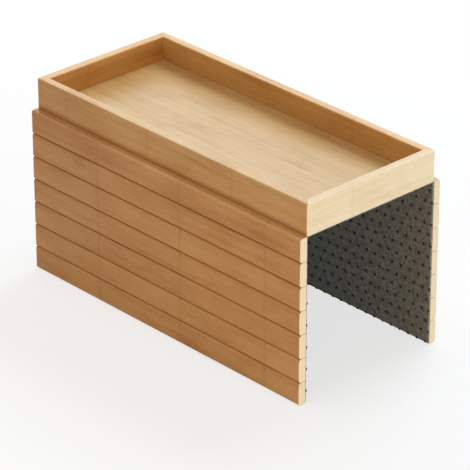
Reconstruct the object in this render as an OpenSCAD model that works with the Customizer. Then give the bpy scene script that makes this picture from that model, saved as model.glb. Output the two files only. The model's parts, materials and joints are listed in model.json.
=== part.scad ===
// Sofa arm tray: a shallow bamboo tray with a tambour flap along each long side.
// Each flap is a row of slats on felt, and both hang down over the arm of a sofa.
// +X runs along the tray, the front is -Y and +Z is up. The origin is the centre
// of the felt's lower face under the tray, which rests on the arm.

/* [Tray] */
// Length of the tray and of every slat, along X
tray_l = 410; // [300:5:500]
// Width of the tray over its long walls, along Y
tray_w = 180; // [140:5:240]
// Height of the four walls
wall_h = 35; // [25:1:60]
// Thickness of the four walls
wall_t = 10; // [8:0.5:14]
// Radius of the tray's four upright corners
corner_r = 2; // [2:0.5:6]
// Rounding of the walls' top edges
edge_r = 1.5; // [0.5:0.25:1.75]

/* [Floor panel] */
// Thickness of the panel, whose lower face is level with the walls
floor_t = 8; // [6:0.5:12]
// Thickness of the tongue round the panel
tongue_t = 4; // [2:0.5:5]
// Depth of the groove in the walls that holds the tongue
groove_d = 5; // [3:0.5:6]
// Gap left round the panel for the wood to swell
swell_gap = 0.3; // [0.1:0.1:0.5]

/* [Flaps] */
// Number of slats in each flap
slat_n = 7; // [3:1:8]
// Distance from one slat's edge to the next one's
slat_pitch = 27; // [18:0.5:32]
// Thickness of a slat
slat_t = 9; // [7:0.5:12]
// Gap between two slats, and between the first one and the tray
slat_gap = 0.4; // [0.3:0.1:1]
// Rounding of the slats' long outer edges, which makes the grooves between them
slat_r = 3; // [1:0.25:3.5]
// Rounding of the slats' outer edges at both ends
end_r = 1; // [0.5:0.1:2]
// Rounding of the last slat's lower edge on the outer side
hem_outer_r = 4; // [2:0.5:4.5]
// Rounding of the last slat's lower edge on the inner side
hem_inner_r = 1; // [0.5:0.25:2.5]

/* [Felt] */
// Thickness of the felt
felt_t = 1.5; // [1:0.25:3]
// Distance from the ends of the wood to the felt's short edges
felt_inset = 0.5; // [0.5:0.5:4]
// Bare wood between the felt's lower edge and the rounding of the last slat
felt_hem = 0.2; // [0.2:0.2:8]
// Largest turn of a flap about the tray's edge, from flat to tucked under
tray_fold = 110; // [90:1:120]
// Largest turn of a slat about the one above it
slat_fold = 22; // [5:1:25]
// Gap left between two felt edges at the largest turn
fold_gap = 0.2; // [0.1:0.05:0.5]

/* [Hidden] */
BAMBOO = "#d9b27c";
FELT = "#4a4642";
$fn = 48;
// How far a cutting shape runs past what it cuts
over = 1;
// Outer face of the front wall, which is also the slats' inner face and holds the hinge lines
side_y = -tray_w / 2;
// Outer face of the slats
slat_y = side_y - slat_t;
// Inner face of the felt on the front flap
felt_y = side_y + felt_t;
// Underside of the wood, on top of the felt
wood_z = felt_t;
top_z = wood_z + wall_h;
felt_l = tray_l - 2 * felt_inset;

// Height of the hinge line above slat i, where i counts from the tray down
function hinge_z(i) = wood_z - (i - 1) * slat_pitch;
// How far a felt edge is cut back on its free side, so that it can fold by this angle
function cut_back(fold) = felt_t * tan(fold / 2);

// What rounding takes off a corner, about the centre of the arc; turn 0 is the upper right corner
module corner_cut(r, turn = 0) {
    rotate(turn) difference() {
        square(r + over);
        circle(r);
    }
}

// Extrudes a Y-Z outline along X
module along_x(length) {
    rotate([90, 0, 90]) linear_extrude(length, center = true) children();
}

// Cross-section of a wall whose outer face lies at this distance from the middle of the tray
module wall_section(outer) {
    translate([-outer, wood_z]) difference() {
        square([wall_t, wall_h]);
        translate([edge_r, wall_h - edge_r]) corner_cut(edge_r, 90);
        translate([wall_t - edge_r, wall_h - edge_r]) corner_cut(edge_r);
    }
}

// Half of an upright corner, from the front round to the mitre
module corner_sector() {
    rotate(-90) rotate_extrude(angle = 45) translate([0, wood_z]) difference() {
        square([corner_r, wall_h]);
        translate([corner_r - edge_r, wall_h - edge_r]) corner_cut(edge_r);
    }
}

// The front wall of a tray of this length and width, mitred at both ends
module mitred_wall(length, width) {
    outer_y = -width / 2;
    inner_y = outer_y + wall_t;
    straight = length / 2 - corner_r;
    difference() {
        union() {
            intersection() {
                along_x(length) wall_section(width / 2);
                linear_extrude(top_z + over) polygon([
                    [-straight, outer_y], [straight, outer_y], [straight, outer_y + corner_r],
                    [length / 2 - wall_t, inner_y], [wall_t - length / 2, inner_y],
                    [-straight, outer_y + corner_r]
                ]);
            }
            for (side = [0, 1])
                mirror([side, 0, 0]) translate([straight, outer_y + corner_r]) corner_sector();
        }
        // Groove for the floor panel
        translate([-length / 2, inner_y - groove_d, wood_z + (floor_t - tongue_t) / 2])
            cube([length, groove_d + over, tongue_t]);
    }
}

module front_long_wall() {
    color(BAMBOO) mitred_wall(tray_l, tray_w);
}

module back_long_wall() {
    color(BAMBOO) rotate([0, 0, 180]) mitred_wall(tray_l, tray_w);
}

module right_end_wall() {
    color(BAMBOO) rotate([0, 0, 90]) mitred_wall(tray_w, tray_l);
}

module left_end_wall() {
    color(BAMBOO) rotate([0, 0, -90]) mitred_wall(tray_w, tray_l);
}

// The floor panel, with a tongue round it that sits in the walls' groove
module tray_floor() {
    panel = [tray_l - 2 * wall_t - 2 * swell_gap, tray_w - 2 * wall_t - 2 * swell_gap];
    tongue = panel + 2 * groove_d * [1, 1];
    color(BAMBOO) {
        translate([0, 0, wood_z]) linear_extrude(floor_t) square(panel, center = true);
        translate([0, 0, wood_z + (floor_t - tongue_t) / 2]) linear_extrude(tongue_t)
            square(tongue, center = true);
    }
}

// The felt under the tray, whose long edges are cut back so that the flaps can fold under
module tray_felt() {
    edge_y = -side_y - fold_gap / 2;
    free_y = edge_y - cut_back(tray_fold);
    color(FELT) along_x(felt_l)
        polygon([[-edge_y, felt_t], [-free_y, 0], [free_y, 0], [edge_y, felt_t]]);
}

// Cross-section of slat i of the front flap
module slat_section(i) {
    top = hinge_z(i) - slat_gap / 2;
    low = hinge_z(i + 1) + slat_gap / 2;
    last = i == slat_n;
    foot_r = last ? hem_outer_r : slat_r;
    difference() {
        translate([slat_y, low]) square([slat_t, top - low]);
        translate([slat_y + slat_r, top - slat_r]) corner_cut(slat_r, 90);
        translate([slat_y + foot_r, low + foot_r]) corner_cut(foot_r, 180);
        if (last) translate([side_y - hem_inner_r, low + hem_inner_r]) corner_cut(hem_inner_r, 270);
    }
}

// Plan of a slat of the front flap, whose two outer corners are rounded
module slat_plan() {
    difference() {
        translate([-tray_l / 2, slat_y]) square([tray_l, slat_t]);
        translate([tray_l / 2 - end_r, slat_y + end_r]) corner_cut(end_r, 270);
        translate([end_r - tray_l / 2, slat_y + end_r]) corner_cut(end_r, 180);
    }
}

// One slat of the front flap
module slat(i) {
    intersection() {
        along_x(tray_l) slat_section(i);
        translate([0, 0, hinge_z(i + 1)]) linear_extrude(slat_pitch) slat_plan();
    }
}

// The felt on one slat of the front flap, cut back where it folds
module felt_strip(i) {
    top = hinge_z(i) - fold_gap / 2;
    hem = slat_gap / 2 + hem_inner_r + felt_hem;
    low = hinge_z(i + 1) + (i == slat_n ? hem : fold_gap / 2);
    top_cut = cut_back(i == 1 ? tray_fold : slat_fold);
    low_cut = i == slat_n ? 0 : cut_back(slat_fold);
    along_x(felt_l)
        polygon([[side_y, top], [side_y, low], [felt_y, low + low_cut], [felt_y, top - top_cut]]);
}

module front_slat(i) {
    color(BAMBOO) slat(i);
}

module back_slat(i) {
    color(BAMBOO) mirror([0, 1, 0]) slat(i);
}

module front_felt(i) {
    color(FELT) felt_strip(i);
}

module back_felt(i) {
    color(FELT) mirror([0, 1, 0]) felt_strip(i);
}

front_long_wall();
back_long_wall();
left_end_wall();
right_end_wall();
tray_floor();
tray_felt();
for (i = [1 : slat_n]) {
    front_slat(i);
    front_felt(i);
    back_slat(i);
    back_felt(i);
}
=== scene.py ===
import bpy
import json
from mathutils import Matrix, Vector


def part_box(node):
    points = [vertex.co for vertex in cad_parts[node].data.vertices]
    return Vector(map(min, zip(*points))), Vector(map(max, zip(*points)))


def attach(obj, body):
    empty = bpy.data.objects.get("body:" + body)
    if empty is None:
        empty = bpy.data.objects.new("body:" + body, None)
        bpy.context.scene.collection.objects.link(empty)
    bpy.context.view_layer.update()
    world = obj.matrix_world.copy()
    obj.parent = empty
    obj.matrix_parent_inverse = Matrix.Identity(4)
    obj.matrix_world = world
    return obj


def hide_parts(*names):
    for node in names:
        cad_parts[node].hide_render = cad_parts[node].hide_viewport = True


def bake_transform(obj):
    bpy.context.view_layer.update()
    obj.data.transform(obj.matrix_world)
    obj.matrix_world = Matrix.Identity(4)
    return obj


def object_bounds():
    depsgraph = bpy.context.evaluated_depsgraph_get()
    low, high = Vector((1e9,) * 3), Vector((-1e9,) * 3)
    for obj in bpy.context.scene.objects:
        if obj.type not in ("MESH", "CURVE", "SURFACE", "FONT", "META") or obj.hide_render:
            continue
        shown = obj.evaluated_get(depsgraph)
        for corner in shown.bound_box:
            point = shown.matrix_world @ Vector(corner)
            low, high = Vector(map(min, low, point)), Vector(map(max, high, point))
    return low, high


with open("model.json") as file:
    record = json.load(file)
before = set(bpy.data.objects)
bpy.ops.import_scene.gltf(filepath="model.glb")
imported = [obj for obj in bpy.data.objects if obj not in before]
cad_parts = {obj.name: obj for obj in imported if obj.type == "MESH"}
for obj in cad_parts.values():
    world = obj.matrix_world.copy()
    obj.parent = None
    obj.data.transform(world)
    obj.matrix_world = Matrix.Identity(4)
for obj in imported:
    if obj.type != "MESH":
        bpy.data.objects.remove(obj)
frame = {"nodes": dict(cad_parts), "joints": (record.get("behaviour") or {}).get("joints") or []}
cad_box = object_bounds()

# %% [markdown]
# Blender counts in metres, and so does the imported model. A maker thinks of this tray in
# millimetres, so small sizes below are written with this unit.
# %% The other modules and the small unit
import json
import math

import bmesh
import bpy
import numpy as np
from mathutils import Matrix, Vector, noise

MM = 0.001

# %% [markdown]
# # Sizes that the model already knows
# Nothing is measured twice. The hinge lines come from the joints, the felt's thickness and edges
# from the plain felt solids, and the number of slats from the count of joints on one side.
# %% Read the sizes
nodes = frame["nodes"]
hinges = {joint["name"]: joint for joint in frame["joints"]}
slats = sum(name.startswith("front_fold_") for name in hinges)
hinge_y = abs(hinges["front_fold_1"]["pos_m"][1])
hinge_z = hinges["front_fold_1"]["pos_m"][2]
slat_pitch = hinge_z - hinges["front_fold_2"]["pos_m"][2]

tray_felt_low, tray_felt_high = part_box("tray_felt")
felt_t = tray_felt_high.z - tray_felt_low.z
felt_end_x = tray_felt_high.x
felt_hem = hinge_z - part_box(f"front_felt_{slats}")[0].z
print(f"{slats} slats, pitch {slat_pitch / MM:.1f} mm, felt {felt_t / MM:.1f} mm thick")

# %% [markdown]
# # Helpers for every material
# A colour is written as the hex value a designer would pick on screen. Blender mixes light in
# linear values, so one function turns the hex into those. The other adds a node, sets it and
# links it in one call, which keeps each material short enough to read from top to bottom.
# %% Colour and node helpers
def linear(code, alpha=1.0):
    """An sRGB hex colour as the linear values that Blender's sockets hold."""
    shares = [int(code[at : at + 2], 16) / 255 for at in (1, 3, 5)]
    return [s / 12.92 if s <= 0.04045 else ((s + 0.055) / 1.055) ** 2.4 for s in shares] + [alpha]


def add(tree, kind, values=None, **settings):
    """Adds a node, sets its properties, then fills or links the sockets named in values."""
    made = tree.nodes.new(kind)
    for key, value in settings.items():
        setattr(made, key, value)
    for key, value in (values or {}).items():
        if isinstance(value, bpy.types.NodeSocket):
            tree.links.new(value, made.inputs[key])
        else:
            made.inputs[key].default_value = value
    return made


def emptied(holder):
    """The node tree of a material or a world, with nothing in it yet."""
    holder.use_nodes = True
    holder.node_tree.nodes.clear()
    return holder.node_tree


def new_material(name):
    """A material that holds only its surface shader, linked to the output."""
    material = bpy.data.materials.new(name)
    tree = emptied(material)
    shader = add(tree, "ShaderNodeBsdfPrincipled")
    add(tree, "ShaderNodeOutputMaterial", {"Surface": shader.outputs["BSDF"]})
    return material, tree, shader


# %% [markdown]
# # Bamboo under satin lacquer
# Bamboo has no growth rings. It is a bundle of straight fibres, a little darker than the pith
# between them, so the surface shows fine dashes along the piece and soft streaks of tone a few
# millimetres wide. About every hand's width a node of the stem crosses the fibres as a soft
# brown bar with a paler band beside it. Two or three coats of satin lacquer lie on top, so the
# wood mirrors a window as a broad pale glow and not as a sharp picture.
# The pattern could be an image, but noise stretched along the grain needs no unwrapping, and on
# a sawn end the same noise shows its cross-section, which is the dotted end grain of real bamboo.
# The boards of one tray are sorted by tone, so each kind of piece has its own pale, middle and
# dark colour. The right end's colours are painted paler, as painted light for its outer face,
# which a lamp lights; the left end's are painted deeper and more orange, as painted shade for its
# inner face in the tray's warm shade.
# %% Bamboo's colours
SLAT_TONES = ("#deb178", "#d1a166", "#bb854c")
FRONT_RAIL_TONES = ("#e0b97f", "#d4a86b", "#bf8f54")
BACK_RAIL_TONES = ("#e8bb7c", "#dcaa69", "#c69152")
# painted light: the right end's tones are paler, as if lit
RIGHT_END_LIT_TONES = ("#e9d0a5", "#e2c599", "#d7b584")
# painted shade: the left end's tones are deeper and more orange, as in the tray's shade
LEFT_END_SHADED_TONES = ("#e9b56e", "#dfa75f", "#ca8d49")
FLOOR_TONES = ("#d2ab6f", "#c79c5d", "#b38345")
# painted light: the pale colour given to every sawn end
PAINTED_LIGHT_ON_ENDS = "#ecd2a8"
STEM_NODE_BROWN = "#b07c46"
# the brown of the painted shade beside each joint
JOINT_SHADE_BROWN = "#8a4510"

# %% [markdown]
# A panel or a set of slats is glued up from strips of many stems. Each board gets its own place
# in the noise and its own tone by chance. The chance is a fixed number for each board, so the
# tray looks the same every time it is made.
# %% Give each board its own piece of stem
SIDE_KEY = 31.0                 # sets the boards of one flap apart from those of the other
STEM_SPREAD_MM = (400, 60, 60)  # how far apart in the noise two boards may be cut


def board_of(tree, point, parts, board_axis, first_mm, board_mm):
    """The place in the stem that this board was cut from, and the board's tone from 0 to 1."""
    count = add(tree, "ShaderNodeMath", {
        0: parts.outputs[board_axis], 1: 1 / board_mm, 2: -first_mm / board_mm,
    }, operation="MULTIPLY_ADD")
    board = add(tree, "ShaderNodeMath", {0: count.outputs[0]}, operation="FLOOR")
    hand = add(tree, "ShaderNodeMath", {0: parts.outputs["Y"]}, operation="SIGN")
    key = add(tree, "ShaderNodeMath", {
        0: hand.outputs[0], 1: SIDE_KEY, 2: board.outputs[0],
    }, operation="MULTIPLY_ADD")
    chance = add(tree, "ShaderNodeTexWhiteNoise", {"W": key.outputs[0]}, noise_dimensions="1D")
    shift = add(tree, "ShaderNodeVectorMath", {
        0: chance.outputs["Color"], 1: STEM_SPREAD_MM,
    }, operation="MULTIPLY")
    moved = add(tree, "ShaderNodeVectorMath", {0: point, 1: shift.outputs[0]}, operation="ADD")
    return moved.outputs[0], chance.outputs["Value"]


# %% [markdown]
# Three noises make the tone: streaks a few millimetres wide, the fibres themselves, and a slow
# drift from one part of the stem to the next. Real bundles of fibre are 0.3 to 0.6 mm wide, and
# are drawn coarser here so that they show. Each noise adds its share to one number. Noise in
# Blender runs from 0 to 1 but hardly ever leaves the middle of that range, so it is stretched.
# %% Streaks, fibres and drift
GRAIN = {  # run along the grain and width in mm, the noise's detail and roughness, share of tone
    "streaks": (120, 6.0, 2.0, 0.5, 0.45),
    "fibres": (26, 1.3, 3.0, 0.55, 0.40),
    "drift": (90, 45, 2.0, 0.5, 0.55),
}
BOARD_TONES = (0.35, 0.55)      # the palest and the darkest board, before the noises are added
NOISE_LOW, NOISE_HIGH = 0.3, 0.7


def grain_tone(tree, stem, board_tone):
    """The wood's tone, from 0 for the pale colour to 1 for the dark, and the fibres' noise."""
    tone = add(tree, "ShaderNodeMapRange", {
        "Value": board_tone, "To Min": BOARD_TONES[0], "To Max": BOARD_TONES[1],
    }).outputs[0]
    noises = {}
    for name, (run_mm, width_mm, detail, rough, share) in GRAIN.items():
        squeezed = add(tree, "ShaderNodeMapping", {
            "Vector": stem, "Scale": (1 / run_mm, 1 / width_mm, 1 / width_mm),
        })
        noises[name] = add(tree, "ShaderNodeTexNoise", {
            "Vector": squeezed.outputs[0], "Scale": 1.0, "Detail": detail, "Roughness": rough,
        }).outputs["Fac"]
        swing = add(tree, "ShaderNodeMapRange", {
            "Value": noises[name], "From Min": NOISE_LOW, "From Max": NOISE_HIGH,
            "To Min": -share / 2, "To Max": share / 2,
        })
        tone = add(tree, "ShaderNodeMath", {
            0: tone, 1: swing.outputs[0],
        }, operation="ADD").outputs[0]
    return tone, noises["fibres"]


# %% [markdown]
# The nodes of the stem lie a hand's width apart, and slats that were sawn from one board have
# them at the same places. Some noise keeps the bars from being straight.
# %% The nodes of the stem
STEM_NODE_MM = 127
STEM_NODE_BAR_MM = 3.4
STEM_NODE_BAND_MM = 9
BAND_TO_BAR = 0.5               # how strong the pale band is beside the brown bar
STEM_NODE_WAVE_MM = 6
WAVE_EVERY_MM = 10


def with_stem_nodes(tree, colour, point, along, first_mm, share, pale):
    """The colour with a brown bar at each node of the stem and a pale band past it."""
    wavy = add(tree, "ShaderNodeTexNoise", {
        "Vector": point, "Scale": 1 / WAVE_EVERY_MM, "Detail": 2.0,
    })
    bent = add(tree, "ShaderNodeMath", {
        0: wavy.outputs["Fac"], 1: STEM_NODE_WAVE_MM, 2: along,
    }, operation="MULTIPLY_ADD")
    from_first = add(tree, "ShaderNodeMath", {
        0: bent.outputs[0], 1: first_mm + STEM_NODE_WAVE_MM / 2,
    }, operation="SUBTRACT")
    count = add(tree, "ShaderNodeMath", {
        0: from_first.outputs[0], 1: STEM_NODE_MM,
    }, operation="DIVIDE")
    nearest = add(tree, "ShaderNodeMath", {0: count.outputs[0]}, operation="ROUND")
    past = add(tree, "ShaderNodeMath", {
        0: nearest.outputs[0], 1: -STEM_NODE_MM, 2: from_first.outputs[0],
    }, operation="MULTIPLY_ADD")

    away = add(tree, "ShaderNodeMath", {0: past.outputs[0]}, operation="ABSOLUTE")
    bar = add(tree, "ShaderNodeMapRange", {
        "Value": away.outputs[0], "From Min": 0.0, "From Max": STEM_NODE_BAR_MM,
        "To Min": share, "To Max": 0.0,
    }, interpolation_type="SMOOTHSTEP")
    band = add(tree, "ShaderNodeMapRange", {
        "Value": past.outputs[0], "From Min": 0.0, "From Max": STEM_NODE_BAND_MM,
        "To Min": BAND_TO_BAR * share, "To Max": 0.0,
    }, interpolation_type="SMOOTHSTEP")
    beyond = add(tree, "ShaderNodeMath", {0: past.outputs[0], 1: 0.0}, operation="GREATER_THAN")
    band = add(tree, "ShaderNodeMath", {
        0: band.outputs[0], 1: beyond.outputs[0],
    }, operation="MULTIPLY")
    paler = add(tree, "ShaderNodeMix", {
        "Factor": band.outputs[0], "A": colour, "B": linear(pale),
    }, data_type="RGBA")
    return add(tree, "ShaderNodeMix", {
        "Factor": bar.outputs[0], "A": paler.outputs["Result"], "B": linear(STEM_NODE_BROWN),
    }, data_type="RGBA").outputs["Result"]


# %% [markdown]
# The long walls stand on the felt beside the first slats, and each slat lies against the next.
# Beside such a joint the wood is painted darker, as painted shade: a brown line at the joint,
# which fades over the next few millimetres, in place of the shade of the step and the groove. A
# wall is darkened above its foot, and a slat below its upper edge, apart from the first slat,
# whose upper edge the wall above already shades. The distance from a joint starts again at the
# next one, so one function does for a single joint and for a whole row.
# %% The painted shade of a joint
UP, DOWN = 1, -1
NEVER_AGAIN_MM = 1000.0
# painted shade above the foot of each long wall
WALL_FOOT_SHADE = {
    "at_mm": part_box("front_long_wall")[0].z / MM, "way": UP, "every_mm": NEVER_AGAIN_MM,
    "wide_mm": 10.0, "share": 0.75,
}
# painted shade below the upper edge of each slat but the first
SLAT_EDGE_SHADE = {
    "at_mm": (hinge_z - slat_pitch) / MM, "way": DOWN, "every_mm": slat_pitch / MM,
    "wide_mm": 8.0, "share": 0.22,
}


def with_painted_joint_shade(tree, colour, height, joint):
    """The colour with painted shade beside a joint or a row of joints, on the upper or lower side.
    """
    past_first = add(tree, "ShaderNodeMath", {
        0: height, 1: joint["way"], 2: -joint["way"] * joint["at_mm"],
    }, operation="MULTIPLY_ADD")
    past = add(tree, "ShaderNodeMath", {
        0: past_first.outputs[0], 1: joint["every_mm"],
    }, operation="FLOORED_MODULO")
    fading = add(tree, "ShaderNodeMapRange", {
        "Value": past.outputs[0], "From Min": 0.0, "From Max": joint["wide_mm"],
        "To Min": 1.0, "To Max": 0.0,
    })
    hollow = add(tree, "ShaderNodeMath", {0: fading.outputs[0], 1: 2.0}, operation="POWER")
    reached = add(tree, "ShaderNodeMath", {
        0: past_first.outputs[0], 1: 0.0,
    }, operation="GREATER_THAN")
    most = add(tree, "ShaderNodeMath", {
        0: reached.outputs[0], 1: joint["share"],
    }, operation="MULTIPLY")
    share = add(tree, "ShaderNodeMath", {
        0: hollow.outputs[0], 1: most.outputs[0],
    }, operation="MULTIPLY")
    # painted shade: the brown is mixed in beside the joint
    return add(tree, "ShaderNodeMix", {
        "Factor": share.outputs[0], "A": colour, "B": linear(JOINT_SHADE_BROWN),
    }, data_type="RGBA").outputs["Result"]


# %% [markdown]
# A face that looks along the grain is a sawn end. It is painted paler than the long faces, as
# painted light, so that every end looks as pale as a strongly lit one. The surface's own direction
# tells the two apart, so no end needs a material of its own.
# %% Sawn ends painted pale, as painted light
SAWN_FROM, SAWN_TO = 0.6, 0.95  # how squarely a face looks along the grain
END_LIGHT_SHARE = 0.8


def with_painted_light_on_ends(tree, colour, normal, turn):
    """The colour made paler, as painted light, where the surface looks along the grain."""
    turned = add(tree, "ShaderNodeVectorRotate", {
        "Vector": normal, "Angle": turn,
    }, rotation_type="Z_AXIS")
    facing = add(tree, "ShaderNodeSeparateXYZ", {"Vector": turned.outputs[0]})
    squarely = add(tree, "ShaderNodeMath", {0: facing.outputs["X"]}, operation="ABSOLUTE")
    sawn = add(tree, "ShaderNodeMapRange", {
        "Value": squarely.outputs[0], "From Min": SAWN_FROM, "From Max": SAWN_TO,
        "To Min": 0.0, "To Max": END_LIGHT_SHARE,
    }, interpolation_type="SMOOTHSTEP")
    return add(tree, "ShaderNodeMix", {
        "Factor": sawn.outputs[0], "A": colour, "B": linear(PAINTED_LIGHT_ON_ENDS),
    }, data_type="RGBA").outputs["Result"]


# %% [markdown]
# The whole finish puts these steps in order. The piece's own coordinates are turned so that X
# always runs along the grain, and counted in millimetres. The lacquer is a clear coat over the
# wood. The fibres raise it by a few hundredths of a millimetre and make its gloss uneven.
# %% Build the bamboo material
GLOSSY, DULL = 0.42, 0.52       # the lacquer's roughness between the fibres and on them
FIBRE_RELIEF_MM = 0.05


def bamboo(name, tones, lacquer, turn=0.0, board=None, node_at_mm=28, node_share=0.25, joint=None):
    """Lacquered bamboo with its grain along X, or along Y after a quarter turn."""
    material, tree, shader = new_material(name)
    place = add(tree, "ShaderNodeTexCoord")
    point = add(tree, "ShaderNodeMapping", {
        "Vector": place.outputs["Object"], "Rotation": (0, 0, turn),
        "Scale": (1 / MM, 1 / MM, 1 / MM),
    }).outputs["Vector"]
    parts = add(tree, "ShaderNodeSeparateXYZ", {"Vector": point})
    stem, board_tone = board_of(tree, point, parts, *board) if board else (point, 0.5)

    tone, fibres = grain_tone(tree, stem, board_tone)
    ramp = add(tree, "ShaderNodeValToRGB", {"Fac": tone})
    ramp.color_ramp.elements[0].color = linear(tones[0])
    ramp.color_ramp.elements[1].color = linear(tones[2])
    ramp.color_ramp.elements.new(0.5).color = linear(tones[1])
    colour = with_stem_nodes(tree, ramp.outputs["Color"], point, parts.outputs["X"],
                             node_at_mm, node_share, tones[0])
    # painted shade beside the joints, where the piece has them
    if joint:
        colour = with_painted_joint_shade(tree, colour, parts.outputs["Z"], joint)
    # painted light: the sawn ends are painted paler
    colour = with_painted_light_on_ends(tree, colour, place.outputs["Normal"], turn)

    gloss = add(tree, "ShaderNodeMapRange", {
        "Value": fibres, "From Min": NOISE_LOW, "From Max": NOISE_HIGH,
        "To Min": GLOSSY, "To Max": DULL,
    })
    relief = add(tree, "ShaderNodeBump", {
        "Height": fibres, "Strength": 0.4, "Distance": FIBRE_RELIEF_MM * MM,
    })
    tree.links.new(colour, shader.inputs["Base Color"])
    tree.links.new(gloss.outputs[0], shader.inputs["Roughness"])
    tree.links.new(relief.outputs[0], shader.inputs["Normal"])
    shader.inputs["IOR"].default_value = 1.45
    shader.inputs["Coat Weight"].default_value = lacquer
    shader.inputs["Coat Roughness"].default_value = 0.3
    return material


# %% [markdown]
# The slats were sawn from one panel, so each is a board as wide as their pitch. The end walls run
# across the tray, and their grain turns by a quarter. The floor is a panel of boards glued edge
# to edge, with the thickest lacquer because it takes all the wear and the spills.
# %% The tray's six kinds of bamboo
QUARTER = math.pi / 2
FLOOR_BOARD_MM = 29.0
WOODS = {
    "slat": bamboo("bamboo slat, satin lacquer", SLAT_TONES, 0.1,
                   board=("Z", hinge_z / MM, slat_pitch / MM), joint=SLAT_EDGE_SHADE),
    "front_long": bamboo("bamboo front rail, satin lacquer", FRONT_RAIL_TONES, 0.2, node_at_mm=97,
                         node_share=0.2, joint=WALL_FOOT_SHADE),
    "back_long": bamboo("bamboo back rail, satin lacquer", BACK_RAIL_TONES, 0.2, node_at_mm=97,
                        node_share=0.2, joint=WALL_FOOT_SHADE),
    # painted shade: deeper, more orange tones for the left end
    "left_end": bamboo("bamboo left end rail, satin lacquer", LEFT_END_SHADED_TONES, 0.2, turn=QUARTER,
                       node_share=0.15),
    # painted light: paler tones for the right end
    "right_end": bamboo("bamboo right end rail, satin lacquer", RIGHT_END_LIT_TONES, 0.2, turn=QUARTER,
                        node_share=0.08),
    "tray_floor": bamboo("bamboo floor panel, thick satin lacquer", FLOOR_TONES, 0.4,
                         board=("Y", 0.0, FLOOR_BOARD_MM), node_share=0.1),
}
print(len(WOODS), "kinds of bamboo")

# %% [markdown]
# # Dress the wooden pieces
# Each wooden piece keeps the mesh that came with the model. Only its material slot changes.
# %% Give each wooden piece its bamboo
wooden = [name for name in nodes if "felt" not in name]
for name in wooden:
    for material_slot in nodes[name].material_slots:
        material_slot.material = next(wood for part, wood in WOODS.items() if part in name)
print(len(wooden), "wooden pieces")

# %% [markdown]
# # Needle-punched felt
# The felt is a mat of short grey fibres of several shades, pressed flat. From a step away it is a
# dark warm grey with a soft mottle; close by, single pale and dark fibres stand out. It has no
# gloss, only the faint sheen of fibre tips at a grazing angle.
# %% Felt's colours and sizes
FELT_PALE = "#9b9581"
FELT_DARK = "#524d40"
MOTTLE_MM = 3.2
FELT_FIBRE_MM = 0.9   # real fibres are finer than 0.05 mm; drawn as coarse as the picture needs
FELT_RELIEF_MM = 0.25
FELT_SWING = (0.75, 1.25)   # the two noises' sum, from all dark fibres to all pale ones


# %% Build the felt material
def felt_material():
    """Short grey fibres of two shades in a soft mottle, with a faint sheen and no gloss."""
    material, tree, shader = new_material("grey needle-punched felt")
    place = add(tree, "ShaderNodeTexCoord")
    point = add(tree, "ShaderNodeMapping", {
        "Vector": place.outputs["Object"], "Scale": (1 / MM, 1 / MM, 1 / MM),
    }).outputs[0]
    mottle = add(tree, "ShaderNodeTexNoise", {
        "Vector": point, "Scale": 1 / MOTTLE_MM, "Detail": 3.0, "Roughness": 0.6,
    })
    fibre = add(tree, "ShaderNodeTexNoise", {
        "Vector": point, "Scale": 1 / FELT_FIBRE_MM, "Detail": 2.0, "Distortion": 1.2,
    })
    both = add(tree, "ShaderNodeMath", {
        0: mottle.outputs["Fac"], 1: fibre.outputs["Fac"],
    }, operation="ADD")
    share = add(tree, "ShaderNodeMapRange", {
        "Value": both.outputs[0], "From Min": FELT_SWING[0], "From Max": FELT_SWING[1],
    })
    colour = add(tree, "ShaderNodeMix", {
        "Factor": share.outputs[0], "A": linear(FELT_DARK), "B": linear(FELT_PALE),
    }, data_type="RGBA")
    relief = add(tree, "ShaderNodeBump", {
        "Height": both.outputs[0], "Strength": 0.8, "Distance": FELT_RELIEF_MM * MM,
    })
    tree.links.new(colour.outputs["Result"], shader.inputs["Base Color"])
    tree.links.new(relief.outputs[0], shader.inputs["Normal"])
    shader.inputs["Roughness"].default_value = 0.95
    shader.inputs["Sheen Weight"].default_value = 0.15
    shader.inputs["Sheen Roughness"].default_value = 0.5
    return material


felt = felt_material()
print(felt.name)

# %% [markdown]
# # Soft rubber for the dots
# The dots are drops of black rubber, printed on the felt and cured. They are nearly black, a
# little dusty, and have a dull shine on the crown that shows they are rubber and not paint.
# %% Build the rubber material
RUBBER_DARK = "#0d0c0b"
RUBBER_DUSTY = "#1e1c1a"
DUST_MM = 1.6
CLEAN, DUSTY = 0.42, 0.62       # the roughness of bare rubber and of rubber under dust


def rubber_material():
    """Nearly black rubber, a little paler and duller where dust lies on it."""
    material, tree, shader = new_material("black printed rubber dots")
    place = add(tree, "ShaderNodeTexCoord")
    dust = add(tree, "ShaderNodeTexNoise", {
        "Vector": place.outputs["Object"], "Scale": 1 / (DUST_MM * MM), "Detail": 2.0,
    })
    colour = add(tree, "ShaderNodeMix", {
        "Factor": dust.outputs["Fac"], "A": linear(RUBBER_DARK), "B": linear(RUBBER_DUSTY),
    }, data_type="RGBA")
    dull = add(tree, "ShaderNodeMapRange", {
        "Value": dust.outputs["Fac"], "To Min": CLEAN, "To Max": DUSTY,
    })
    tree.links.new(colour.outputs["Result"], shader.inputs["Base Color"])
    tree.links.new(dull.outputs[0], shader.inputs["Roughness"])
    return material


rubber = rubber_material()
print(rubber.name)

# %% [markdown]
# # Where the felt runs
# Seen from the end, the felt follows the wood: flat under the tray, round the fold, then down the
# back of the slats. A place on it is given by one number, the way along the glued face, counted
# from the hinge line: below zero is under the tray, above zero is on the flap. At the fold the
# glued face has the wood's sharp corner, and the free face rounds it off, because thick felt
# crushes on the inside of a bend and never creases.
# %% The felt's path
FOLD_RADIUS = 0.8 * MM
SIGN = {"front": -1, "back": 1}   # the way from the tray's middle to each flap, along Y


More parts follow.
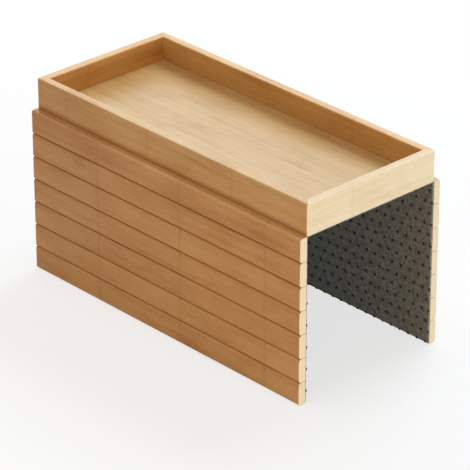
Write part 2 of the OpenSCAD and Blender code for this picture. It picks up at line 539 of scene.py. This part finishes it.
def felt_place(side, way):
    """Two points in the YZ plane, on the glued face and on the free face, at this way along."""
    reach = felt_t + FOLD_RADIUS
    under, down = max(-way, 0.0), max(way, 0.0)
    glued = (under, down)
    if way <= -reach:
        free = (under, felt_t)
    elif way >= reach:
        free = (felt_t, down)
    else:
        turn = (way + reach) / (2 * reach) * math.pi / 2
        free = (reach - FOLD_RADIUS * math.sin(turn), reach - FOLD_RADIUS * math.cos(turn))
    return [Vector((0, SIGN[side] * (hinge_y - u), hinge_z - v)) for u, v in (glued, free)]


fold_reach = (felt_t + FOLD_RADIUS) / MM
print(f"the felt turns within {fold_reach:.1f} mm of the tray's lower edge, on either side of it")

# %% [markdown]
# Felt is nowhere quite even, and its loose fibres round every cut edge. One function gives the
# felt's thickness at a place from how near the next cut edge is and from a slow noise.
# %% The felt's thickness
CUT_ROUND = 0.45 * MM
UNEVEN = 0.07 * MM
UNEVEN_WAVE = 11 * MM


def pile(x, way_to_hem, at):
    """The felt's height above the glued face: less at a cut edge, and never quite even."""
    to_edge = min(felt_end_x - abs(x), way_to_hem)
    gap = max(CUT_ROUND - to_edge, 0.0)
    rounded = CUT_ROUND - math.sqrt(max(CUT_ROUND ** 2 - gap ** 2, 0.0))
    return felt_t - rounded - UNEVEN * (0.5 + 0.5 * noise.noise(at / UNEVEN_WAVE))


# %% [markdown]
# # Cut the felt at the slats
# The real felt is one sheet. Here it is built in strips that meet behind the middle of each slat,
# where it is glued down and never bends, so that every strip has only one hinge line to bend
# over. A strip is a grid of two faces with closed edges. A solidified plane would be quicker, but
# it could not round the free face at the fold or thin the felt at its cut edges.
# %% The columns and faces of one strip
COLUMN = 4.0 * MM
EDGE_STEPS = (0.0, 0.12, 0.35, 0.65)   # shares of a cut edge's rounding at which points lie


def felt_columns():
    """Places across the felt, closer together where its two cut ends are rounded."""
    inner = felt_end_x - CUT_ROUND
    count = round(2 * inner / COLUMN)
    near_end = [CUT_ROUND * share for share in EDGE_STEPS]
    middle = list(np.linspace(-inner, inner, count + 1))
    return [-felt_end_x + d for d in near_end] + middle + [felt_end_x - d for d in near_end[::-1]]


def strip_faces(rows, wide):
    """The corners of every face of a closed strip, whose points come in pairs, glued and free."""
    def at(row, column, face):
        return 2 * (row * wide + column) + face

    faces = []
    for row in range(rows - 1):
        for column in range(wide - 1):
            for face, order in ((0, 1), (1, -1)):
                corners = [at(row, column, face), at(row, column + 1, face),
                           at(row + 1, column + 1, face), at(row + 1, column, face)]
                faces.append(corners[::order])
        for column in (0, wide - 1):
            faces.append([at(row, column, 0), at(row, column, 1),
                          at(row + 1, column, 1), at(row + 1, column, 0)])
    for row in (0, rows - 1):
        for column in range(wide - 1):
            faces.append([at(row, column, 0), at(row, column, 1),
                          at(row, column + 1, 1), at(row, column + 1, 0)])
    return faces


# %% [markdown]
# Each row of points has a place on the path and its way to the hem. The points on the glued face
# lie on the wood. Those on the free face stand away from it by the felt's thickness there. The
# faces along the edges don't all point the same way at first, so Blender turns them outwards.
# %% Build one strip of felt
SHARP_EDGE = math.radians(50)


def face_outwards(mesh):
    """Turns every face of a closed mesh outwards."""
    shell = bmesh.new()
    shell.from_mesh(mesh)
    bmesh.ops.recalc_face_normals(shell, faces=shell.faces)
    shell.to_mesh(mesh)
    shell.free()


def put_in_scene(name, data):
    """An object for this mesh, lamp or camera, linked to the scene."""
    made = bpy.data.objects.new(name, data)
    bpy.context.scene.collection.objects.link(made)
    return made


def felt_strip(name, stations):
    """A closed strip of felt; each station is (glued point, free point, way to the hem)."""
    columns = felt_columns()
    points = []
    for glued, free, to_hem in stations:
        for x in columns:
            low = Vector((x, glued.y, glued.z))
            high = Vector((x, free.y, free.z))
            points.append(low)
            points.append(low.lerp(high, pile(x, to_hem, high) / felt_t))
    mesh = bpy.data.meshes.new(name)
    mesh.from_pydata(points, [], strip_faces(len(stations), len(columns)))
    face_outwards(mesh)
    mesh.materials.append(felt)
    for polygon in mesh.polygons:
        polygon.use_smooth = True
    mesh.set_sharp_from_angle(angle=SHARP_EDGE)
    return put_in_scene(name, mesh)


# %% [markdown]
# The sheet under the tray has its rows straight across. A strip of a flap runs from the middle of
# one slat to the middle of the next. The first one starts under the tray and has extra rows in
# the fold, and the last one ends at the hem, with rows close together for its rounded cut edge.
# %% The rows of each strip
UNDER_TRAY = 8.0 * MM           # how far the first strip of a flap reaches under the tray
FAR = 1.0                       # a strip without a hem lies this far from one
ROW = 1.5 * MM
FOLD_STEPS = 10


def spaced(start, end, step):
    """Even places from start to end, about this step apart, with both ends."""
    return list(np.linspace(start, end, max(round(abs(end - start) / step), 1) + 1))


def tray_stations():
    """The rows of the sheet under the tray, which lies flat and has no hem."""
    half = hinge_y - UNDER_TRAY
    return [(Vector((0, y, hinge_z)), Vector((0, y, hinge_z - felt_t)), FAR)
            for y in spaced(-half, half, ROW * 2)]


def flap_ways(row):
    """The ways along the felt at which the strip behind one hinge line has its rows."""
    if row > 1:
        start = (row - 1.5) * slat_pitch
        end = felt_hem if row == slats else (row - 0.5) * slat_pitch
        ways = spaced(start, end, ROW)
    else:
        reach = felt_t + FOLD_RADIUS
        fold = list(np.linspace(-reach, reach, FOLD_STEPS + 1))
        ways = spaced(-UNDER_TRAY, -reach, ROW)[:-1] + fold
        ways += spaced(reach, slat_pitch / 2, ROW)[1:]
    if row == slats:
        near_hem = [felt_hem - CUT_ROUND * share for share in (1.0, *EDGE_STEPS[::-1])]
        ways = [way for way in ways if way < near_hem[0] - ROW / 2] + near_hem
    return ways


row_counts = [len(flap_ways(row)) for row in range(1, slats + 1)]
print("rows behind the hinge lines of a flap:", row_counts)


# %% Lay the felt under the tray and on both flaps
def flap_strip(side, row):
    """The strip of felt behind one hinge line of a flap, and its length along the felt."""
    ways = flap_ways(row)
    places = [felt_place(side, way) for way in ways]
    stations = [(glued, free, felt_hem - way) for (glued, free), way in zip(places, ways)]
    return felt_strip(f"{side}_felt_strip_{row}", stations), ways[-1] - ways[0]


tray_sheet = felt_strip("tray_felt_sheet", tray_stations())
strips = {(side, row): flap_strip(side, row) for side in SIGN for row in range(1, slats + 1)}
print(len(strips) + 1, "pieces of felt,", len(strips["front", 2][0].data.vertices), "points each")

# %% [markdown]
# # Print the grip dots
# The dots lie in a staggered lattice over the whole sheet, cut through wherever the felt was cut.
# Placing fourteen hundred of them by hand is hopeless, and a bump in the felt's material would
# leave a flat silhouette. Geometry Nodes suit this: a grid of points, every second row moved
# sideways by half a step, and one small drop of rubber on each point. The tree works on the felt
# rolled out flat, with the way along the sheet as its Y, and each result is then stood where its
# strip of felt hangs.
# %% The dots' sizes
DOT_PITCH = 12.45 * MM          # the same from row to row and from dot to dot
DOT_MARGIN = 3.6 * MM           # from the last dots of the even rows to the felt's right edge
DOT_RADIUS = 1.85 * MM
DOT_HEIGHT = 0.95 * MM
DOT_SINK = 0.12 * MM
DOT_SPREAD = (0.94, 1.06)       # no two drops are quite the same size
DOT_SEED = 7
DOT_SIDES = 12
DOT_RINGS = 6
FOLD_CLEAR = 3.0 * MM           # no dots are printed this close to the two main folds
print(f"dots of {2 * DOT_RADIUS / MM:.1f} mm, {DOT_PITCH / MM:.2f} mm apart")

# %% [markdown]
# The first part of the tree lays the grid. Its last column of points lies one margin inside the
# felt's right edge. Ping-pong gives 0 on the even rows and one pitch on the odd ones, and half of
# that is the step sideways.
# %% The staggered lattice
def dot_lattice(tree, given, place):
    """A grid of points, every second row of which is moved sideways by half a pitch."""
    counts = add(tree, "ShaderNodeCombineXYZ", {"X": given["Columns"], "Y": given["Rows"]})
    steps = add(tree, "ShaderNodeVectorMath", {
        0: counts.outputs[0], 1: (1, 1, 0),
    }, operation="SUBTRACT")
    span = add(tree, "ShaderNodeVectorMath", {
        "Vector": steps.outputs[0], "Scale": given["Pitch"],
    }, operation="SCALE")
    spans = add(tree, "ShaderNodeSeparateXYZ", {"Vector": span.outputs[0]})
    grid = add(tree, "GeometryNodeMeshGrid", {
        "Size X": spans.outputs["X"], "Size Y": spans.outputs["Y"],
        "Vertices X": given["Columns"], "Vertices Y": given["Rows"],
    })
    start = add(tree, "ShaderNodeMath", {
        0: spans.outputs["X"], 1: -0.5, 2: given["Edge"],
    }, operation="MULTIPLY_ADD")
    start = add(tree, "ShaderNodeMath", {
        0: start.outputs[0], 1: given["Margin"],
    }, operation="SUBTRACT")
    corner = add(tree, "ShaderNodeCombineXYZ", {"X": start.outputs[0], "Y": given["Middle Row"]})
    lattice = add(tree, "GeometryNodeSetPosition", {
        "Geometry": grid.outputs["Mesh"], "Offset": corner.outputs[0],
    })

    spot = add(tree, "ShaderNodeSeparateXYZ", {"Vector": place})
    odd = add(tree, "ShaderNodeMath", {
        0: spot.outputs["Y"], 1: given["Pitch"],
    }, operation="PINGPONG")
    half = add(tree, "ShaderNodeMath", {0: odd.outputs[0], 1: 0.5}, operation="MULTIPLY")
    sideways = add(tree, "ShaderNodeCombineXYZ", {"X": half.outputs[0]})
    return add(tree, "GeometryNodeSetPosition", {
        "Geometry": lattice.outputs["Geometry"], "Offset": sideways.outputs[0],
    }).outputs["Geometry"]


# %% [markdown]
# The felt is printed before it is cut, so a dot on a cut edge has lost a part. Points far beyond
# the felt go, and those just beyond it move to its edge. Once the drops are there, what they have
# beyond the felt is pushed back in the same way, as the cutter left it.
# %% Keep to the felt
def held_to_felt(tree, given, place):
    """A point's own place, or the nearest one on the felt if it lies beyond."""
    high = add(tree, "ShaderNodeCombineXYZ", {"X": given["Edge"], "Y": given["Hem"], "Z": 1.0})
    low = add(tree, "ShaderNodeVectorMath", {
        "Vector": high.outputs[0], "Scale": -1.0,
    }, operation="SCALE")
    inside = add(tree, "ShaderNodeVectorMath", {0: place, 1: high.outputs[0]}, operation="MINIMUM")
    return add(tree, "ShaderNodeVectorMath", {
        0: inside.outputs[0], 1: low.outputs[0],
    }, operation="MAXIMUM").outputs[0]


def points_on_felt(tree, given, place, lattice, inside):
    """The lattice without its points far beyond the felt, and with the near ones moved in."""
    spot = add(tree, "ShaderNodeSeparateXYZ", {"Vector": place})
    out = add(tree, "ShaderNodeMath", {0: spot.outputs["X"]}, operation="ABSOLUTE")
    limit = add(tree, "ShaderNodeMath", {
        0: given["Edge"], 1: given["Margin"],
    }, operation="ADD")
    beyond = add(tree, "ShaderNodeMath", {
        0: out.outputs[0], 1: limit.outputs[0],
    }, operation="GREATER_THAN")
    kept = add(tree, "GeometryNodeDeleteGeometry", {
        "Geometry": lattice, "Selection": beyond.outputs[0],
    }, domain="POINT")
    return add(tree, "GeometryNodeSetPosition", {
        "Geometry": kept.outputs["Geometry"], "Position": inside,
    }).outputs["Geometry"]


# %% [markdown]
# A drop is a ball pressed flat, sunk a little into the felt. Only its upper half ever shows, but a
# closed ball needs no hidden rim to be mended. It has few faces, because there are so many drops.
# %% One drop on each point
def dot_drops(tree, given, points):
    """A drop of rubber on each point, as one mesh."""
    drop = add(tree, "GeometryNodeMeshUVSphere", {
        "Segments": DOT_SIDES, "Rings": DOT_RINGS, "Radius": 1.0,
    })
    size = add(tree, "ShaderNodeCombineXYZ", {
        "X": given["Radius"], "Y": given["Radius"], "Z": given["Height"],
    })
    drop = add(tree, "GeometryNodeTransform", {
        "Geometry": drop.outputs["Mesh"], "Scale": size.outputs[0],
    })
    cure = add(tree, "FunctionNodeRandomValue", {
        2: DOT_SPREAD[0], 3: DOT_SPREAD[1], "Seed": given["Seed"],
    }, data_type="FLOAT")
    printed = add(tree, "GeometryNodeInstanceOnPoints", {
        "Points": points, "Instance": drop.outputs["Geometry"], "Scale": cure.outputs[1],
    })
    solid = add(tree, "GeometryNodeRealizeInstances", {"Geometry": printed.outputs["Instances"]})
    return solid.outputs["Geometry"]


# %% [markdown]
# The whole tree puts these parts in order. All its sizes are inputs, so that one tree serves the
# sheet under the tray and every strip of the flaps.
# %% The tree of the dots
DOT_INPUTS = {
    "Pitch": "Float", "Columns": "Int", "Rows": "Int", "Middle Row": "Float", "Edge": "Float",
    "Margin": "Float", "Hem": "Float", "Radius": "Float", "Height": "Float", "Seed": "Int",
    "Rubber": "Material",
}


def dot_tree():
    """Geometry Nodes that print the dots of one strip on felt that lies flat."""
    tree = bpy.data.node_groups.new("grip dots on flat felt", "GeometryNodeTree")
    for name, kind in DOT_INPUTS.items():
        tree.interface.new_socket(name=name, in_out="INPUT", socket_type="NodeSocket" + kind)
    tree.interface.new_socket(name="Geometry", in_out="OUTPUT", socket_type="NodeSocketGeometry")
    given = add(tree, "NodeGroupInput").outputs
    place = add(tree, "GeometryNodeInputPosition").outputs[0]

    lattice = dot_lattice(tree, given, place)
    inside = held_to_felt(tree, given, place)
    points = points_on_felt(tree, given, place, lattice, inside)
    drops = dot_drops(tree, given, points)
    trimmed = add(tree, "GeometryNodeSetPosition", {"Geometry": drops, "Position": inside})
    smooth = add(tree, "GeometryNodeSetShadeSmooth", {"Geometry": trimmed.outputs["Geometry"]})
    done = add(tree, "GeometryNodeSetMaterial", {
        "Geometry": smooth.outputs["Geometry"], "Material": given["Rubber"],
    })
    add(tree, "NodeGroupOutput", {"Geometry": done.outputs["Geometry"]})
    return tree


dots_on_felt = dot_tree()
print(len(dots_on_felt.nodes), "nodes in the tree of the dots")

# %% [markdown]
# The felt's free face is a little shorter than its glued face, because it turns two inside
# corners. The lattice is laid on the free face, so a place on a flap is turned from one to the
# other by twice the felt's thickness. Each strip gets only the rows that lie on it.
# %% Make the dots of one strip
inner_corner = hinge_y - felt_t
sheet_half = inner_corner + felt_hem - felt_t


def print_dots(name, low, high, place):
    """The dots between two places on the rolled-out felt, as a plain mesh set by a matrix."""
    first, last = math.ceil(low / DOT_PITCH), math.floor(high / DOT_PITCH)
    values = {
        "Pitch": DOT_PITCH, "Columns": math.ceil(2 * felt_end_x / DOT_PITCH) + 1,
        "Rows": last - first + 1, "Middle Row": (first + last) / 2 * DOT_PITCH,
        "Edge": felt_end_x, "Margin": DOT_MARGIN, "Hem": sheet_half, "Radius": DOT_RADIUS,
        "Height": DOT_HEIGHT + DOT_SINK, "Seed": DOT_SEED, "Rubber": rubber,
    }
    carrier = put_in_scene(name + "_tree", bpy.data.meshes.new(name + "_tree"))
    modifier = carrier.modifiers.new("dots", "NODES")
    modifier.node_group = dots_on_felt
    for socket in dots_on_felt.interface.items_tree:
        if socket.in_out == "INPUT":
            modifier[socket.identifier] = values[socket.name]
    bpy.context.view_layer.update()
    ready = carrier.evaluated_get(bpy.context.evaluated_depsgraph_get())
    mesh = bpy.data.meshes.new_from_object(ready)
    bpy.data.objects.remove(carrier)
    mesh.name = name
    mesh.transform(place)
    return put_in_scene(name, mesh)


# %% [markdown]
# The lattice under the tray is laid face down, so it is turned upside down. That of a flap stands
# on edge behind its slats, with the rubber sunk a little into the felt's free face.
# %% Print the dots on every piece of felt
def flap_place(side):
    """Stands the rolled-out felt on edge: its outer half becomes the back of the flap."""
    sign = SIGN[side]
    stand = Matrix.Rotation(sign * math.pi / 2, 4, "X")
    face_y = sign * (inner_corner + DOT_SINK)
    return Matrix.Translation((0, face_y, hinge_z - felt_t + inner_corner)) @ stand


def flap_dots(side, row):
    """The dots on one strip of a flap, fewer on the first one, whose fold stays clear."""
    ways = flap_ways(row)
    low = max(ways[0], FOLD_CLEAR + felt_t) + inner_corner - felt_t
    high = ways[-1] + inner_corner - felt_t
    if side == "back":
        low, high = -high, -low
    return print_dots(f"{side}_felt_dots_{row}", low, high, flap_place(side))


upside_down = Matrix.Rotation(math.pi, 4, "X")
under_place = Matrix.Translation((0, 0, hinge_z - felt_t + DOT_SINK)) @ upside_down
tray_reach = inner_corner - FOLD_CLEAR
tray_dots = print_dots("tray_felt_dots", -tray_reach, tray_reach, under_place)
dots = {key: flap_dots(*key) for key in strips}
print("dots' faces", sum(len(piece.data.polygons) for piece in [tray_dots, *dots.values()]))


def bend_over(piece):
    """Bakes the piece's placement into its mesh; it is not made to bend at a hinge line."""
    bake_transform(piece)


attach(tray_sheet, "tray")
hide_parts("tray_felt")
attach(tray_dots, "tray")

for (side, row), (strip, length) in strips.items():
    bend_over(strip)
    bend_over(dots[side, row])
    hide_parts(f"{side}_felt_{row}")
print(2 * len(strips), "pieces bend over", len(strips), "hinge lines")

# %% [markdown]
# # A pale studio
# The tray stands on its two flaps on a pale floor. The world is a soft, even light. The camera
# and the lacquer see it as white, and they see the floor nearly as pale, so the picture has the
# plain ground of a product photograph while the shadow under the tray stays. Away from the tray
# the floor turns to pure white, so that it has no horizon from any side. To the light that
# bounces it is a warm tan, as in a furnished room, so that the shade on the wood stays warm.
# %% The floor
FLOOR_REACH = 7.0               # from the tray's middle to each edge of the floor
FLOOR_PALE = "#fafaf9"
FLOOR_BOUNCE = "#9c6a3e"        # what the floor gives back to the wood: a warmer, duller tone
FLOOR_GLOW = 0.72               # share of plain white in what the camera sees of the floor
GLOW_FROM, GLOW_TO = 0.3, 1.0   # it rises to 1 between these distances from the tray's middle


def seen_directly(tree):
    """1 for the rays that show the surroundings as they are, 0 for light that only bounces."""
    ray = add(tree, "ShaderNodeLightPath")
    mirrored = add(tree, "ShaderNodeMath", {
        0: ray.outputs["Is Glossy Ray"], 1: ray.outputs["Is Transmission Ray"],
    }, operation="MAXIMUM")
    return add(tree, "ShaderNodeMath", {
        0: ray.outputs["Is Camera Ray"], 1: mirrored.outputs[0],
    }, operation="MAXIMUM").outputs[0]


def floor_material():
    """Pale and softly shaded where it is seen, a warm tan to the light that bounces off it."""
    material = bpy.data.materials.new("pale studio floor")
    tree = emptied(material)
    colour = add(tree, "ShaderNodeMix", {
        "Factor": seen_directly(tree), "A": linear(FLOOR_BOUNCE), "B": linear(FLOOR_PALE),
    }, data_type="RGBA")
    matt = add(tree, "ShaderNodeBsdfDiffuse", {"Color": colour.outputs["Result"]})
    glow = add(tree, "ShaderNodeEmission", {"Color": (1, 1, 1, 1), "Strength": 1.0})
    spot = add(tree, "ShaderNodeTexCoord")
    away = add(tree, "ShaderNodeVectorMath", {0: spot.outputs["Object"]}, operation="LENGTH")
    rising = add(tree, "ShaderNodeMapRange", {
        "Value": away.outputs["Value"], "From Min": GLOW_FROM, "From Max": GLOW_TO,
        "To Min": FLOOR_GLOW, "To Max": 1.0,
    }, interpolation_type="SMOOTHSTEP")
    ray = add(tree, "ShaderNodeLightPath")
    share = add(tree, "ShaderNodeMath", {
        0: ray.outputs["Is Camera Ray"], 1: rising.outputs[0],
    }, operation="MULTIPLY")
    both = add(tree, "ShaderNodeMixShader", {
        0: share.outputs[0], 1: matt.outputs[0], 2: glow.outputs[0],
    })
    add(tree, "ShaderNodeOutputMaterial", {"Surface": both.outputs[0]})
    return material


floor_z = cad_box[0][2]
floor_mesh = bpy.data.meshes.new("floor")
floor_mesh.from_pydata([(x * FLOOR_REACH, y * FLOOR_REACH, floor_z)
                        for x, y in ((-1, -1), (1, -1), (1, 1), (-1, 1))], [], [(0, 1, 2, 3)])
floor_mesh.materials.append(floor_material())
floor = put_in_scene("floor", floor_mesh)
print(f"floor at {floor_z / MM:.1f} mm, level with the flaps' lower edges")

# %% [markdown]
# The world has two faces as well. It lights the tray with a weak warm glow from all around, which
# keeps the shade from going black, and shows plain white behind the tray and in its reflections.
# %% The world
SKY_LIGHT = "#ffdcb2"
SKY_STRENGTH = 0.24

world = bpy.data.worlds.new("soft studio")
bpy.context.scene.world = world
studio = emptied(world)
sky = add(studio, "ShaderNodeBackground", {
    "Color": linear(SKY_LIGHT), "Strength": SKY_STRENGTH,
})
white = add(studio, "ShaderNodeBackground", {"Color": (1, 1, 1, 1), "Strength": 1.0})
both = add(studio, "ShaderNodeMixShader", {
    0: seen_directly(studio), 1: sky.outputs[0], 2: white.outputs[0],
})
add(studio, "ShaderNodeOutputWorld", {"Surface": both.outputs[0]})

# %% [markdown]
# # Lamps
# The main light comes from behind: a large window-like panel beyond the left end and a smaller
# one high at the back. They light the rims and the tray's floor, and their soft reflection makes
# the lacquer there look paler than the wood. The walls keep them off the ledge at their own foot,
# which a lamp overhead would flatten, so the panel above the tray is weak. A low panel beyond the
# right end makes the end wall and the slats' ends the brightest faces. It stands below the rim
# and leaves the inside of the tray in its own warm shade. The long front gets only a weak warm
# fill from its right, which leaves it the deep tan of the photograph.
# %% Place the lamps
LIT_FROM_ALL = Vector((0, 0, -0.05))   # the place that every lamp looks at


def panel(name, place, size, power, colour):
    """A soft rectangle of light (width, height) that looks from its place to the tray."""
    light = bpy.data.lights.new(name, "AREA")
    light.shape = "RECTANGLE"
    light.size, light.size_y = size
    light.energy = power
    light.color = linear(colour)[:3]
    lamp = put_in_scene(name, light)
    lamp.location = place
    lamp.rotation_euler = (LIT_FROM_ALL - Vector(place)).to_track_quat("-Z", "Y").to_euler()
    lamp.visible_camera = False


panel("window_back_left", (-1.75, 1.65, 1.25), (2.6, 2.2), 28, "#effbff")
panel("back_high", (-0.3, 1.6, 2.0), (1.4, 1.0), 38, "#e0f4ff")
panel("top_soft", (0.0, -0.3, 2.4), (1.2, 1.2), 16, "#f0f8ff")
panel("low_right", (2.6, -0.26, -0.03), (1.8, 0.26), 72, "#cfe8ff")
panel("low_front", (0.36, -0.9, -0.03), (1.0, 0.26), 2.15, "#ffe8c4")
print(len(bpy.data.lights), "lamps")

# %% [markdown]
# # The photograph's viewpoint
# The camera looks down at the right front corner through a long lens, as product photographs are
# taken, so that parallel edges stay nearly parallel. Its direction and distance were found by
# fitting the tray's own edges to the picture.
# %% Place the camera
CAMERA_TURN = math.radians(46.92)   # round from the front, towards the right end
CAMERA_RISE = math.radians(27.20)
CAMERA_FAR = 3.222
CAMERA_LENS = 237.8                 # mm, on Blender's 36 mm sensor
LOOK_AT = Vector((0.0342, -0.0268, -0.0828))

towards_camera = Vector((math.sin(CAMERA_TURN) * math.cos(CAMERA_RISE),
                         -math.cos(CAMERA_TURN) * math.cos(CAMERA_RISE),
                         math.sin(CAMERA_RISE)))
camera_data = bpy.data.cameras.new("camera")
camera_data.lens = CAMERA_LENS
camera = put_in_scene("camera", camera_data)
camera.location = LOOK_AT + CAMERA_FAR * towards_camera
camera.rotation_euler = (-towards_camera).to_track_quat("-Z", "Y").to_euler()
bpy.context.scene.camera = camera
bpy.context.scene.view_settings.view_transform = "Standard"
print(f"camera {CAMERA_FAR} m away, with a lens of {CAMERA_LENS} mm")
